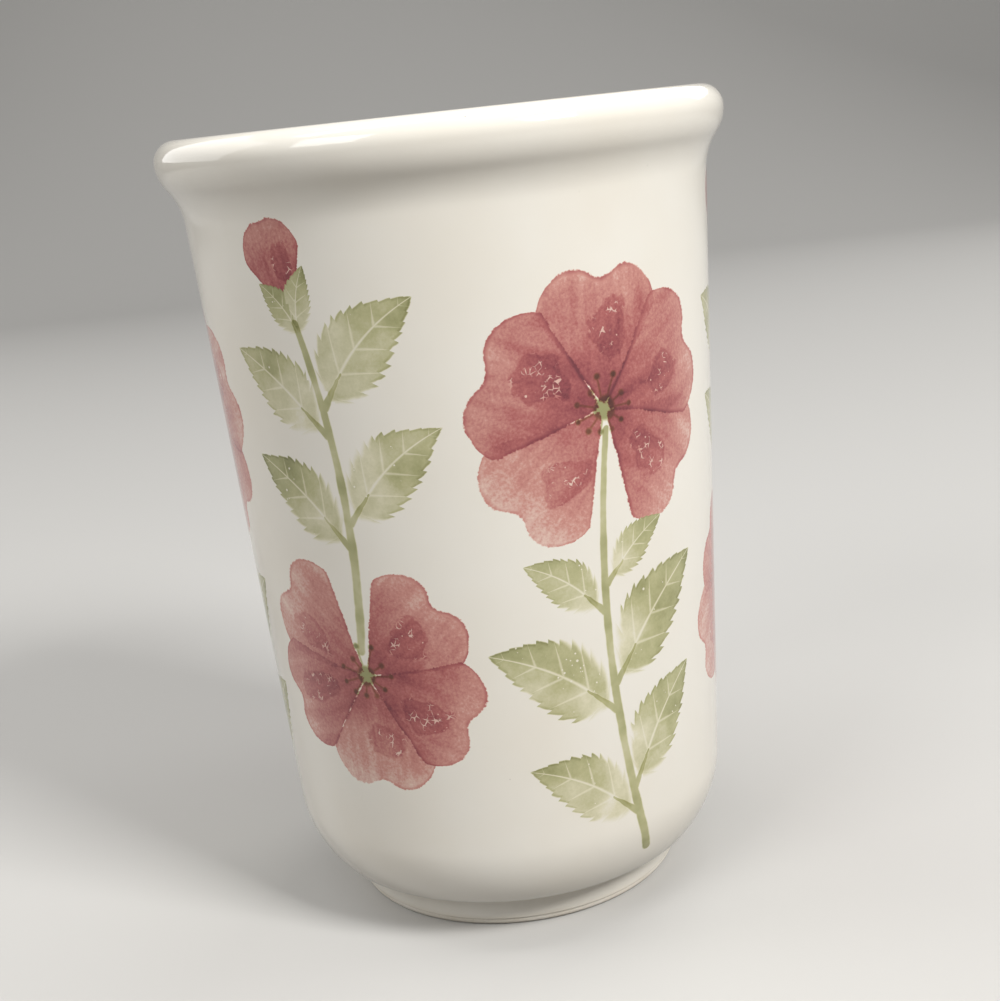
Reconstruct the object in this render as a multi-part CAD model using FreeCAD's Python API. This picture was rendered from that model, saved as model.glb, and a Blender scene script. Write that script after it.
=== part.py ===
"""Utensil crock in glazed earthenware: a tapered pot with a rolled rim on a low foot ring.

The clay is turned about +Z in four sections. The base bowl, the wall and the rolled rim are luted
together at bevelled seams, and the foot ring is luted to a seat under the base bowl. Three coats
of glaze cover the clay and leave the standing edge bare. Lengths are in millimetres and angles in
radians. The origin is the centre of the standing edge, on the surface that the crock stands on.
"""

import FreeCAD
import Part
import math
import os

# Overall sizes, measured over the glaze
crock_height = 178.0
rim_diameter = 124.5

# Rolled rim: it stands out past the line of the wall, measured at the crown
rim_overhang = 3.7
rim_crown_radius = 4.8
rim_roll_radius = 9.3
throat_radius = 12.9

# Wall: it draws in from the crown to the shoulder
wall_draw_in = 7.4
wall_thickness = 6.0

# Base bowl: the shoulder curves in from the wall and turns under to a level ledge
shoulder_height = 24.5
shoulder_radius = 25.0
turn_under_radius = 1.5
floor_thickness = 7.0
floor_corner_radius = 14.0

# Foot ring: it stands in from the turn of the shoulder, and its standing edge is bare of glaze
foot_height = 9.4
foot_inset = 5.2
foot_ring_width = 6.5
foot_fillet_radius = 1.5
foot_edge_radius = 1.2
bare_edge_height = 1.7

# Glaze coats, and the seams between the clay sections
glaze_thickness = 0.4
seam_bevel_rise = 2.5
seam_land = 3.0

full_turn_degrees = 360.0

# Lines that the outlines share: the wall's lean and the directions square to it and along it
quarter_turn = math.pi / 2
half_turn = math.pi
wall_lean = math.atan(wall_draw_in / (crock_height - shoulder_height))
square_out = (math.cos(wall_lean), -math.sin(wall_lean))
along_up = (math.sin(wall_lean), math.cos(wall_lean))
floor_height = foot_height + floor_thickness


def moved(start, direction, distance):
    """The point at a distance from a start, as (radius, height)."""
    return (start[0] + direction[0] * distance, start[1] + direction[1] * distance)


def wall_depth(place):
    """How deep a point lies behind the wall's outer face, measured square to it."""
    face_radius = rim_diameter / 2 - rim_overhang - (crock_height - place[1]) * math.tan(wall_lean)
    return (face_radius - place[0]) * math.cos(wall_lean)


def on_wall(height, depth):
    """The point at a height on a line parallel to the wall's outer face, at a depth behind it."""
    axis_point = (0.0, height)
    return ((wall_depth(axis_point) - depth) / math.cos(wall_lean), height)


class Run:
    """A straight stretch of an outline, travelled with the clay on its right."""

    def __init__(self, start, end):
        self.start = start
        self.end = end

    def inset(self, depth):
        """The same stretch, moved into the clay."""
        length = math.dist(self.start, self.end)
        right = ((self.end[1] - self.start[1]) / length, (self.start[0] - self.end[0]) / length)
        return Run(moved(self.start, right, depth), moved(self.end, right, depth))

    def edge(self):
        """The stretch as an edge in the XZ plane."""
        return Part.makeLine(in_section(self.start), in_section(self.end))


class Bend:
    """A round stretch of an outline about a centre, travelled with the clay on its right."""

    def __init__(self, centre, radius, first_angle, last_angle):
        self.centre = centre
        self.radius = radius
        self.first_angle = first_angle
        self.last_angle = last_angle
        self.start = self.at(first_angle)
        self.end = self.at(last_angle)

    def at(self, angle):
        """The point of the bend at an angle from the radial direction."""
        return moved(self.centre, (math.cos(angle), math.sin(angle)), self.radius)

    def inset(self, depth):
        """The same bend, moved into the clay: a hollow bend grows and a full one shrinks."""
        hollow = self.last_angle > self.first_angle
        radius = self.radius + depth if hollow else self.radius - depth
        return Bend(self.centre, radius, self.first_angle, self.last_angle)

    def edge(self):
        """The bend as an edge in the XZ plane."""
        middle = self.at((self.first_angle + self.last_angle) / 2)
        return Part.Arc(in_section(self.start), in_section(middle), in_section(self.end)).toShape()


def in_section(place):
    """A (radius, height) point as a vector in the XZ plane."""
    return FreeCAD.Vector(place[0], 0.0, place[1])


def inside_skin():
    """The glazed surface inside, from the middle of the floor up to the crown of the rim."""
    corner_centre = on_wall(floor_height + floor_corner_radius, wall_thickness + floor_corner_radius)
    corner = Bend(corner_centre, floor_corner_radius, -quarter_turn, -wall_lean)
    crown_out = rim_diameter / 2 - rim_crown_radius
    crown_depth = wall_depth((crown_out, crock_height))
    lip_radius = (wall_thickness - crown_depth) / (1 - math.sin(wall_lean))
    lip_centre = (crown_out, crock_height - lip_radius)
    lip = Bend(lip_centre, lip_radius, half_turn - wall_lean, quarter_turn)
    return {
        "floor": Run((0.0, floor_height), corner.start),
        "corner": corner,
        "inner_wall": Run(corner.end, lip.start),
        "lip": lip,
    }


def outside_skin():
    """The glazed surface outside, from the crown of the rim down to the bare standing edge."""
    bead_height = crock_height - rim_crown_radius
    crown_centre = (rim_diameter / 2 - rim_crown_radius, bead_height)
    roll_centre = (rim_diameter / 2 - rim_roll_radius, bead_height)
    step_out = wall_depth(roll_centre) + throat_radius
    step_down = math.sqrt((rim_roll_radius + throat_radius) ** 2 - step_out ** 2)
    throat_centre = moved(moved(roll_centre, square_out, step_out), along_up, -step_down)
    turn = math.atan2(throat_centre[1] - roll_centre[1], throat_centre[0] - roll_centre[0])
    throat = Bend(throat_centre, throat_radius, half_turn + turn, half_turn - wall_lean)

    wall_foot = on_wall(shoulder_height, 0.0)
    shoulder_centre = moved(wall_foot, square_out, -shoulder_radius)
    reach = shoulder_radius - turn_under_radius
    drop = shoulder_centre[1] - foot_height - turn_under_radius
    under_angle = -math.asin(drop / reach)
    under_centre = moved(shoulder_centre, (math.cos(under_angle), math.sin(under_angle)), reach)
    turn_under = Bend(under_centre, turn_under_radius, under_angle, -quarter_turn)

    foot_radius = under_centre[0] - foot_inset
    fillet_centre = (foot_radius + foot_fillet_radius, foot_height - foot_fillet_radius)
    ledge_fillet = Bend(fillet_centre, foot_fillet_radius, quarter_turn, half_turn)
    return {
        "crown": Bend(crown_centre, rim_crown_radius, quarter_turn, 0.0),
        "roll": Bend(roll_centre, rim_roll_radius, 0.0, turn),
        "throat": throat,
        "outer_wall": Run(throat.end, wall_foot),
        "shoulder": Bend(shoulder_centre, shoulder_radius, -wall_lean, under_angle),
        "turn_under": turn_under,
        "ledge": Run(turn_under.end, ledge_fillet.start),
        "ledge_fillet": ledge_fillet,
        "foot_outside": Run(ledge_fillet.end, (foot_radius, bare_edge_height)),
    }


def well_skin(foot_radius):
    """The glazed surface of the well inside the foot ring, from the bare edge to the middle."""
    well_radius = foot_radius - foot_ring_width
    fillet_centre = (well_radius - foot_fillet_radius, foot_height - foot_fillet_radius)
    well_fillet = Bend(fillet_centre, foot_fillet_radius, 0.0, quarter_turn)
    return {
        "foot_inside": Run((well_radius, bare_edge_height), well_fillet.start),
        "well_fillet": well_fillet,
        "well_ceiling": Run(well_fillet.end, (0.0, foot_height)),
    }


def under_glaze(skin):
    """The surface of the clay below a glazed surface."""
    return {name: stretch.inset(glaze_thickness) for name, stretch in skin.items()}


def turned(outline):
    """The solid that a closed outline sweeps in a full turn about the crock's axis."""
    section = Part.Face(Part.Wire([stretch.edge() for stretch in outline]))
    solid = section.revolve(FreeCAD.Vector(), FreeCAD.Vector(0, 0, 1), full_turn_degrees)
    return Part.Solid(solid.Shells[0])


def coat(skin, clay):
    """A coat of glaze: the layer between a glazed surface and the clay below it."""
    outer = list(skin.values())
    inner = list(clay.values())
    last_edge = Run(outer[-1].end, inner[-1].end)
    first_edge = Run(inner[0].start, outer[0].start)
    return turned(outer + [last_edge] + inner[::-1] + [first_edge])


def seam(height):
    """A bevelled seam through the wall's clay, as its outer and its inner end."""
    outer_end = on_wall(height, glaze_thickness)
    inner_end = on_wall(height + seam_bevel_rise, wall_thickness - glaze_thickness)
    return outer_end, inner_end


def parted(surface, stretch_name, owners, places):
    """A surface with one straight stretch parted at places on it, a share for each owner."""
    shares = {}
    for name, stretch in surface.items():
        if name != stretch_name:
            shares[name] = stretch
            continue
        corners = [stretch.start, *places, stretch.end]
        for k, owner in enumerate(owners):
            shares[owner + "_" + stretch_name] = Run(corners[k], corners[k + 1])
    return shares


def rolled_rim(inside, outside, rim_seam):
    """The rim section: a lip, a rolled bead and the throat below it, over a bevelled seam."""
    seam_out, seam_in = rim_seam
    lip = [inside["rim_inner_wall"], inside["lip"]]
    bead = [outside[name] for name in ("crown", "roll", "throat", "rim_outer_wall")]
    return turned(lip + bead + [Run(seam_out, seam_in)])


def wall(inside, outside, rim_seam, base_seam):
    """The tapered wall between its two bevelled seams."""
    upper_seam = Run(rim_seam[1], rim_seam[0])
    lower_seam = Run(base_seam[0], base_seam[1])
    return turned([inside["wall_inner_wall"], upper_seam, outside["wall_outer_wall"], lower_seam])


def base_bowl(inside, outside, well, base_seam):
    """The floor with the shoulder that curves up to the wall, and the foot ring's seat below."""
    seam_out, seam_in = base_seam
    upper = [inside[name] for name in ("floor", "corner", "base_inner_wall")]
    outer = [outside[name] for name in ("base_outer_wall", "shoulder", "turn_under")]
    below = [outside["ledge"], outside["ledge_fillet"]]
    foot_seat = Run(outside["ledge_fillet"].end, well["well_fillet"].start)
    ceiling = [well["well_fillet"], well["well_ceiling"]]
    axis = Run(well["well_ceiling"].end, inside["floor"].start)
    return turned(upper + [Run(seam_in, seam_out)] + outer + below + [foot_seat] + ceiling + [axis])


def foot_ring(outside, well):
    """The ring that the crock stands on, with its standing edge eased on both sides."""
    glazed_out = outside["foot_outside"]
    glazed_in = well["foot_inside"]
    outer_centre = (glazed_out.end[0] - foot_edge_radius, foot_edge_radius)
    inner_centre = (glazed_in.start[0] + foot_edge_radius, foot_edge_radius)
    outer_edge = Bend(outer_centre, foot_edge_radius, 0.0, -quarter_turn)
    inner_edge = Bend(inner_centre, foot_edge_radius, -quarter_turn, -half_turn)
    bare_out = Run(glazed_out.end, outer_edge.start)
    bare_in = Run(inner_edge.end, glazed_in.start)
    standing_edge = Run(outer_edge.end, inner_edge.start)
    seat = Run(glazed_in.end, glazed_out.start)
    return turned([seat, glazed_out, bare_out, outer_edge, standing_edge, inner_edge, bare_in, glazed_in])


def crock():
    """Every piece of the crock by its name."""
    inside = inside_skin()
    outside = outside_skin()
    well = well_skin(outside["foot_outside"].end[0])
    rim_seam = seam(outside["throat"].end[1] - seam_land)
    base_seam = seam(max(inside["corner"].end[1], shoulder_height) + seam_land)
    inner_places = (base_seam[1], rim_seam[1])
    outer_places = (rim_seam[0], base_seam[0])
    clay_inside = parted(under_glaze(inside), "inner_wall", ("base", "wall", "rim"), inner_places)
    clay_outside = parted(under_glaze(outside), "outer_wall", ("rim", "wall", "base"), outer_places)
    clay_well = under_glaze(well)
    return {
        "foot_ring": foot_ring(clay_outside, clay_well),
        "base_bowl": base_bowl(clay_inside, clay_outside, clay_well, base_seam),
        "wall": wall(clay_inside, clay_outside, rim_seam, base_seam),
        "rolled_rim": rolled_rim(clay_inside, clay_outside, rim_seam),
        "outer_glaze": coat(outside, clay_outside),
        "inner_glaze": coat(inside, clay_inside),
        "foot_well_glaze": coat(well, clay_well),
    }


os.makedirs("parts", exist_ok=True)
for node, solid in crock().items():
    solid.exportStep(os.path.join("parts", node + ".step"))
    print(node, "volume", round(solid.Volume), "valid", solid.isValid())
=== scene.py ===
"""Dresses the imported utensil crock: turned coats of glaze, painted sprays, a bare foot and a studio.

The crock stands on the origin with +Z up, and -Y faces the camera. Outlines and paint are laid out in
millimetres, and meshes are in metres, as the frame is. A point of an outline or of the paint is a complex
number: its radius, or its way round the wall from the front, and 1j times its height.
"""

import cmath
import logging
import math
import random
from dataclasses import dataclass, field, replace
from enum import Enum
from functools import cached_property, partial, reduce
from typing import Any, Callable

import bpy
import numpy as np
from mathutils import Matrix, Vector


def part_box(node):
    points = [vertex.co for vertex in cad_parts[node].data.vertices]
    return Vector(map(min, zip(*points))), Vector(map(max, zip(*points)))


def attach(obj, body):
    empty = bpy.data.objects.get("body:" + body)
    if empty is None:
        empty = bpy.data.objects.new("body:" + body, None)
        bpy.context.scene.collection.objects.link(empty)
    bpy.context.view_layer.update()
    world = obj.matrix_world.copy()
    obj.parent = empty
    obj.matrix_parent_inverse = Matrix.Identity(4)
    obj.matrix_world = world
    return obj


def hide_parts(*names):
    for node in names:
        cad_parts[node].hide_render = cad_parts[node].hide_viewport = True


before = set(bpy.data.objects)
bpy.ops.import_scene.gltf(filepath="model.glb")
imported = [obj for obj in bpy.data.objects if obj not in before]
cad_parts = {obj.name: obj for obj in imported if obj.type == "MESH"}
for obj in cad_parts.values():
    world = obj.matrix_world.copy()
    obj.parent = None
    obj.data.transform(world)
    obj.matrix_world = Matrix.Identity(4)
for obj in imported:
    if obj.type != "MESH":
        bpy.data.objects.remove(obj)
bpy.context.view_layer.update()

LOG = logging.getLogger("utensil_crock")
MM = 0.001
QUARTER_TURN = math.pi / 2
HALF_TURN = math.pi
FULL_TURN = 2 * math.pi
TINY = 1e-6
FAR = 999.0

# Kinds of node that the finishes use often, and settings that many of them share
VECTOR = "ShaderNodeVectorMath"
RANGE = "ShaderNodeMapRange"
NOISE = "ShaderNodeTexNoise"
CELLS = "ShaderNodeTexVoronoi"
SPLIT = "ShaderNodeSeparateXYZ"
CURVE = "ShaderNodeFloatCurve"
RAMP = "ShaderNodeValToRGB"
MIX = "ShaderNodeMix"
BUMP = "ShaderNodeBump"
SMOOTH = {"interpolation_type": "SMOOTHSTEP"}
# A mix of colours takes its factor at input 0 and the colours at 6 and 7, and gives output 2
TINT = {"data_type": "RGBA", "out": 2}

Socket = bpy.types.NodeSocket
AddNode = Callable[..., Socket]
Span = tuple[float, float]
Stops = tuple[tuple[float, str], ...]


def linear(hex_colour: str) -> list[float]:
    """The linear red, green and blue of an sRGB hex value, and an alpha of one."""
    shares = [int(hex_colour[k:k + 2], 16) / 255 for k in (1, 3, 5)]
    return [s / 12.92 if s <= 0.04045 else ((s + 0.055) / 1.055) ** 2.4 for s in shares] + [1.0]


def add_node(tree: bpy.types.NodeTree, kind: str, *feeds: Any, into: dict[Any, Any] | None = None,
             out: int | str = 0, stops: Stops = (), line: tuple[Span, ...] = (),
             **settings: Any) -> Socket | None:
    """Adds one node to a tree, with its settings, and feeds its inputs.

    Args:
        tree: The node tree.
        kind: The node's type name, or a math node's operation in capitals.
        feeds: What its first inputs get: another node's socket, a constant, or None to skip one.
        into: What further inputs get, by name or number.
        out: The output that the caller goes on with, by name or number.
        stops: A colour ramp's places and hex colours.
        line: A float curve's points.
        settings: The node's own properties.

    Returns:
        The chosen output socket, or None if the node has no outputs.
    """
    if kind.isupper():
        settings["operation"] = kind
        kind = "ShaderNodeMath"
    node = tree.nodes.new(kind)
    for name, value in settings.items():
        setattr(node, name, value)
    for key, value in [*enumerate(feeds), *(into or {}).items()]:
        if isinstance(value, Socket):
            tree.links.new(value, node.inputs[key])
        elif value is not None:
            node.inputs[key].default_value = value
    if stops:
        elements = node.color_ramp.elements
        elements.remove(elements[1])
        elements[0].position, elements[0].color = stops[0][0], linear(stops[0][1])
        for place, hex_colour in stops[1:]:
            elements.new(place).color = linear(hex_colour)
    if line:
        points = node.mapping.curves[0].points
        points[0].location, points[1].location = line[0], line[-1]
        for place in line[1:-1]:
            points.new(*place)
        node.mapping.update()
    return node.outputs[out] if len(node.outputs) else None


class Spacing(Enum):
    """How the points of a bend are spread: evenly, or gathered where two coats of glaze meet."""

    EVEN = "even"
    GATHERED_AT_START = "gathered at start"
    GATHERED_AT_END = "gathered at end"


@dataclass(frozen=True)
class Bend:
    """A round stretch of a section outline, travelled with the clay on its right.

    Straight runs lead from one bend to the next. A bend with no radius is a corner, and its angle is the
    way out of the clay.
    """

    centre: complex
    radius: float = 0.0
    first_angle: float = 0.0
    last_angle: float = 0.0
    spacing: Spacing = Spacing.EVEN

    def at(self, share: float) -> complex:
        """The point at a share of the bend."""
        turn = self.last_angle - self.first_angle
        return self.centre + cmath.rect(self.radius, self.first_angle + turn * share)

    @property
    def length(self) -> float:
        """The bend's length in millimetres."""
        return self.radius * abs(self.last_angle - self.first_angle)

    def inset(self, depth: float) -> "Bend":
        """The same bend, moved into the clay: a hollow bend grows and a full one shrinks."""
        hollow = self.last_angle > self.first_angle
        return replace(self, radius=self.radius + (depth if hollow else -depth))


Skin = dict[str, Bend]


@dataclass(frozen=True)
class Sampling:
    """How finely an outline is cut: the longest step, and how far a step strays from a bend."""

    pitch: float
    sag: float
    gathered_times: float = 1.6
    gather_power: float = 2.2

    def shares(self, bend: Bend) -> np.ndarray:
        """Cuts a bend into steps.

        Args:
            bend: The bend. A corner has no steps.

        Returns:
            The share of the bend that each step reaches, up to 1.
        """
        if bend.length < TINY:
            return np.empty(0)
        longest = 2 * math.acos(1 - self.sag / bend.radius) * bend.radius
        count = math.ceil(bend.length / min(self.pitch, longest))
        if bend.spacing is Spacing.EVEN:
            return np.arange(1, count + 1) / count
        count = math.ceil(count * self.gathered_times)
        gathered = (np.arange(count + 1) / count) ** self.gather_power
        return gathered[1:] if bend.spacing is Spacing.GATHERED_AT_START else 1 - gathered[-2::-1]

    def side(self, bends: list[Bend]) -> list[complex]:
        """Cuts bends, and the straight runs between them, into points.

        Args:
            bends: The bends in the order they are travelled.

        Returns:
            The points, each corner once.
        """
        points = [bends[0].at(0)]
        for bend in bends:
            run = bend.at(0) - points[-1]
            steps = math.ceil((abs(run) - TINY) / self.pitch)
            points += [points[-1] + run * k / steps for k in range(1, steps + 1)]
            points += [bend.at(share) for share in self.shares(bend)]
        return points


SHOWN = Sampling(pitch=2.2, sag=0.007)
HIDDEN = Sampling(pitch=40.0, sag=0.06)


@dataclass(frozen=True)
class Outline:
    """A section outline in points: a side that shows, from first to last, and a side on the clay.

    A closed outline's last point joins its first.
    """

    points: np.ndarray
    first: int
    last: int
    closed: bool
    fade_length: float = 5.0

    @classmethod
    def coat(cls, skin: Skin, thickness: float) -> "Outline":
        """A coat of glaze: out along the skin, and back along the clay under it.

        Args:
            skin: The glazed surface.
            thickness: The glaze's thickness.

        Returns:
            The coat's section. A coat that reaches the axis stays open there, and closes as it turns.
        """
        shown = SHOWN.side(list(skin.values()))
        hidden = HIDDEN.side([bend.inset(thickness) for bend in skin.values()])[::-1]
        if shown[-1].real < TINY:
            return cls(np.array(hidden + shown), len(hidden), len(hidden + shown) - 1, closed=False)
        return cls(np.array(shown + hidden), 0, len(shown) - 1, closed=shown[0].real > TINY)

    @classmethod
    def ring(cls, section: Skin) -> "Outline":
        """A ring of clay that shows all round, from a section that ends where it starts."""
        points = SHOWN.side(list(section.values()))[:-1]
        return cls(np.array(points), 0, len(points) - 1, closed=True)

    @cached_property
    def stations(self) -> np.ndarray:
        """How far along the outline each point lies."""
        return np.concatenate([[0.0], np.cumsum(np.abs(np.diff(self.points)))])

    @cached_property
    def whole(self) -> float:
        """The way along the whole outline."""
        return self.stations[-1] + self.closed * abs(self.points[-1] - self.points[0])

    @property
    def freedoms(self) -> np.ndarray:
        """How freely the glaze wavers: not at all on the clay, at a seam or at a bare edge.

        Returns:
            A share from 0 to 1 for each point.
        """
        freedoms = np.ones(len(self.points))
        for end, way in ((self.first, 1), (self.last, -1)):
            if self.points[end].real > TINY:
                fade = way * (self.stations - self.stations[end]) / self.fade_length
                freedoms = np.minimum(freedoms, np.clip(fade, 0.0, 1.0))
        return freedoms


@dataclass(frozen=True)
class CrockForm:
    """The crock's section in millimetres, over the glaze. It has the sizes that the solids have."""

    height: float
    rim_diameter: float
    rim_overhang: float = 3.7
    rim_crown_radius: float = 4.8
    rim_roll_radius: float = 9.3
    throat_radius: float = 12.9
    wall_draw_in: float = 7.4
    wall_thickness: float = 6.0
    shoulder_height: float = 24.5
    shoulder_radius: float = 25.0
    turn_under_radius: float = 1.5
    floor_thickness: float = 7.0
    floor_corner_radius: float = 14.0
    foot_height: float = 9.4
    foot_inset: float = 5.2
    foot_ring_width: float = 6.5
    foot_fillet_radius: float = 1.5
    foot_edge_radius: float = 1.2
    bare_edge_height: float = 1.7
    glaze_thickness: float = 0.4

    @classmethod
    def from_frame(cls) -> "CrockForm":
        """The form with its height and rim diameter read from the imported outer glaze."""
        low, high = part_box("outer_glaze")
        return cls(height=high.z / MM, rim_diameter=(high.x - low.x) / MM)

    @property
    def wall_lean(self) -> float:
        """The angle that the wall leans out by."""
        return math.atan(self.wall_draw_in / (self.height - self.shoulder_height))

    def wall_depth(self, place: complex) -> float:
        """How deep a point lies behind the wall's outer face, measured square to it."""
        wall_top = complex(self.rim_diameter / 2 - self.rim_overhang, self.height)
        return ((wall_top - place) * cmath.rect(1.0, self.wall_lean)).real

    def on_wall(self, height: float, depth: float) -> complex:
        """The point at a height on a line parallel to the wall's outer face, at a depth behind it."""
        return complex((self.wall_depth(height * 1j) - depth) / math.cos(self.wall_lean), height)

    def inside_skin(self) -> Skin:
        """The glazed surface inside.

        Returns:
            Its bends, from the middle of the floor up to the crown of the rim.
        """
        lean = self.wall_lean
        floor = self.foot_height + self.floor_thickness
        corner = self.floor_corner_radius
        crown = complex(self.rim_diameter / 2 - self.rim_crown_radius, self.height)
        lip = (self.wall_thickness - self.wall_depth(crown)) / (1 - math.sin(lean))
        corner_centre = self.on_wall(floor + corner, self.wall_thickness + corner)
        return {
            "floor_middle": Bend(floor * 1j, 0.0, QUARTER_TURN, QUARTER_TURN),
            "corner": Bend(corner_centre, corner, -QUARTER_TURN, -lean),
            "lip": Bend(crown - lip * 1j, lip, HALF_TURN - lean, QUARTER_TURN, Spacing.GATHERED_AT_END),
        }

    def outside_skin(self) -> Skin:
        """The glazed surface outside.

        Returns:
            Its bends, from the crown of the rim down to the bare standing edge.
        """
        lean = self.wall_lean
        square_out = cmath.rect(1.0, -lean)
        crown, roll, throat = self.rim_crown_radius, self.rim_roll_radius, self.throat_radius
        bead = complex(self.rim_diameter / 2, self.height - crown)
        step_out = self.wall_depth(bead - roll) + throat
        step_down = math.sqrt((roll + throat) ** 2 - step_out ** 2)
        throat_step = square_out * complex(step_out, -step_down)
        turn = cmath.phase(throat_step)

        under = self.turn_under_radius
        shoulder_centre = self.on_wall(self.shoulder_height, 0.0) - square_out * self.shoulder_radius
        reach = self.shoulder_radius - under
        tuck = -math.asin((shoulder_centre.imag - self.foot_height - under) / reach)
        under_centre = shoulder_centre + cmath.rect(reach, tuck)

        foot = under_centre.real - self.foot_inset
        fillet, glaze = self.foot_fillet_radius, self.glaze_thickness
        fillet_centre = complex(foot + fillet, self.foot_height - fillet)
        end_centre = complex(foot - glaze, self.bare_edge_height + glaze)
        return {
            "crown": Bend(bead - crown, crown, QUARTER_TURN, 0.0, Spacing.GATHERED_AT_START),
            "roll": Bend(bead - roll, roll, 0.0, turn),
            "throat": Bend(bead - roll + throat_step, throat, HALF_TURN + turn, HALF_TURN - lean),
            "shoulder": Bend(shoulder_centre, self.shoulder_radius, -lean, tuck),
            "turn_under": Bend(under_centre, under, tuck, -QUARTER_TURN),
            "ledge_fillet": Bend(fillet_centre, fillet, QUARTER_TURN, HALF_TURN),
            "glaze_end": Bend(end_centre, glaze, 0.0, -QUARTER_TURN),
        }

    def well_skin(self) -> Skin:
        """The glazed surface of the well inside the foot ring.

        Returns:
            Its bends, from the bare standing edge to the middle.
        """
        well = self.outside_skin()["glaze_end"].at(0).real - self.foot_ring_width
        fillet, glaze = self.foot_fillet_radius, self.glaze_thickness
        end_centre = complex(well + glaze, self.bare_edge_height + glaze)
        fillet_centre = complex(well - fillet, self.foot_height - fillet)
        return {
            "glaze_end": Bend(end_centre, glaze, -QUARTER_TURN, -HALF_TURN),
            "well_fillet": Bend(fillet_centre, fillet, 0.0, QUARTER_TURN),
            "well_middle": Bend(self.foot_height * 1j, 0.0, -QUARTER_TURN, -QUARTER_TURN),
        }

    def foot_section(self) -> Skin:
        """The bare clay ring that the crock stands on.

        Returns:
            Its bends, from its seat round and back to it.
        """
        edge = self.foot_edge_radius
        outer = self.outside_skin()["ledge_fillet"].inset(self.glaze_thickness).at(1)
        inner = self.well_skin()["well_fillet"].inset(self.glaze_thickness).at(0)
        return {
            "outer_corner": Bend(outer),
            "outer_edge": Bend(complex(outer.real - edge, edge), edge, 0.0, -QUARTER_TURN),
            "inner_edge": Bend(complex(inner.real + edge, edge), edge, -QUARTER_TURN, -HALF_TURN),
            "inner_corner": Bend(inner),
            "seat_end": Bend(outer),
        }


@dataclass
class TurnedForm:
    """A Geometry Nodes tree that turns a section outline round the crock's axis into a skin."""

    rail_radius: float = 50.0 * MM
    weld: float = 0.001 * MM
    waver_size: float = 24.0 * MM
    waver_seed: float = 3.7
    sharp_angle: float = math.radians(40.0)

    def __post_init__(self) -> None:
        """Builds the tree with its named inputs."""
        tree = bpy.data.node_groups.new("turned_form", "GeometryNodeTree")
        sockets = {"Section": "Geometry", "Segments": "Int", "Rail Radius": "Float", "Waver Depth": "Float",
                   "Waver Scale": "Float", "Seed": "Float", "Finish": "Material"}
        for name, kind in sockets.items():
            tree.interface.new_socket(name, in_out="INPUT", socket_type="NodeSocket" + kind)
        tree.interface.new_socket("Skin", in_out="OUTPUT", socket_type="NodeSocketGeometry")
        add = partial(add_node, tree)
        asked = add("NodeGroupInput").node.outputs
        section = add("GeometryNodeMeshToCurve", asked["Section"])
        rail = add("GeometryNodeCurvePrimitiveCircle",
                   into={"Resolution": asked["Segments"], "Radius": asked["Rail Radius"]})
        rail = add("GeometryNodeSetCurveNormal", rail, mode="Z_UP")
        skin = add("GeometryNodeCurveToMesh", rail, section)
        skin = add("GeometryNodeMergeByDistance", skin, into={"Distance": self.weld})
        place = add("GeometryNodeInputPosition")
        waver = add(NOISE, place, asked["Seed"], asked["Waver Scale"], 1.0, noise_dimensions="4D")
        freedom = add("GeometryNodeInputNamedAttribute", "freedom", data_type="FLOAT")
        depth = add("MULTIPLY", add("MULTIPLY", asked["Waver Depth"], freedom), waver)
        inward = add("SUBTRACT", 0.0, depth)
        normal = add("GeometryNodeInputNormal")
        offset = add(VECTOR, normal, into={"Scale": inward}, operation="SCALE")
        skin = add("GeometryNodeSetPosition", skin, into={"Offset": offset})
        skin = add("GeometryNodeSetShadeSmooth", skin)
        skin = add("GeometryNodeRealizeInstances", skin)
        skin = add("GeometryNodeSetMaterial", skin, into={"Material": asked["Finish"]})
        add("NodeGroupOutput", skin)
        self.tree = tree

    def turn(self, name: str, outline: Outline, finish: bpy.types.Material, segments: int,
             waver_depth: float) -> bpy.types.Object:
        """Turns one outline into a piece with a plain mesh.

        Args:
            name: The piece's name.
            outline: The section that is turned.
            finish: The piece's material.
            segments: How many steps the turn has.
            waver_depth: How far the skin wavers inwards, in millimetres.

        Returns:
            The piece, with the station along its section kept as a mesh attribute.
        """
        section = bpy.data.meshes.new(name + "_section")
        places = [(p.real * MM - self.rail_radius, -p.imag * MM, 0.0) for p in outline.points]
        count = len(places)
        edges = [(k, (k + 1) % count) for k in range(count if outline.closed else count - 1)]
        section.from_pydata(places, edges, [])
        for attribute, values in (("station", outline.stations), ("freedom", outline.freedoms)):
            held = section.attributes.new(attribute, "FLOAT", "POINT").data
            held.foreach_set("value", values.astype(np.float32))
        piece = bpy.data.objects.new(name, section)
        bpy.context.scene.collection.objects.link(piece)
        modifier = piece.modifiers.new("turned_form", "NODES")
        modifier.node_group = self.tree
        sizes = {"Segments": segments, "Rail Radius": self.rail_radius, "Waver Depth": waver_depth * MM,
                 "Waver Scale": 1 / self.waver_size, "Seed": self.waver_seed, "Finish": finish}
        for item in self.tree.interface.items_tree:
            if item.name in sizes:
                modifier[item.identifier] = sizes[item.name]
        evaluated = piece.evaluated_get(bpy.context.evaluated_depsgraph_get())
        skin = bpy.data.meshes.new_from_object(evaluated)
        piece.modifiers.remove(modifier)
        piece.data = skin
        bpy.data.meshes.remove(section)
        skin.name = name
        skin.set_sharp_from_angle(angle=self.sharp_angle)
        return piece


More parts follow.
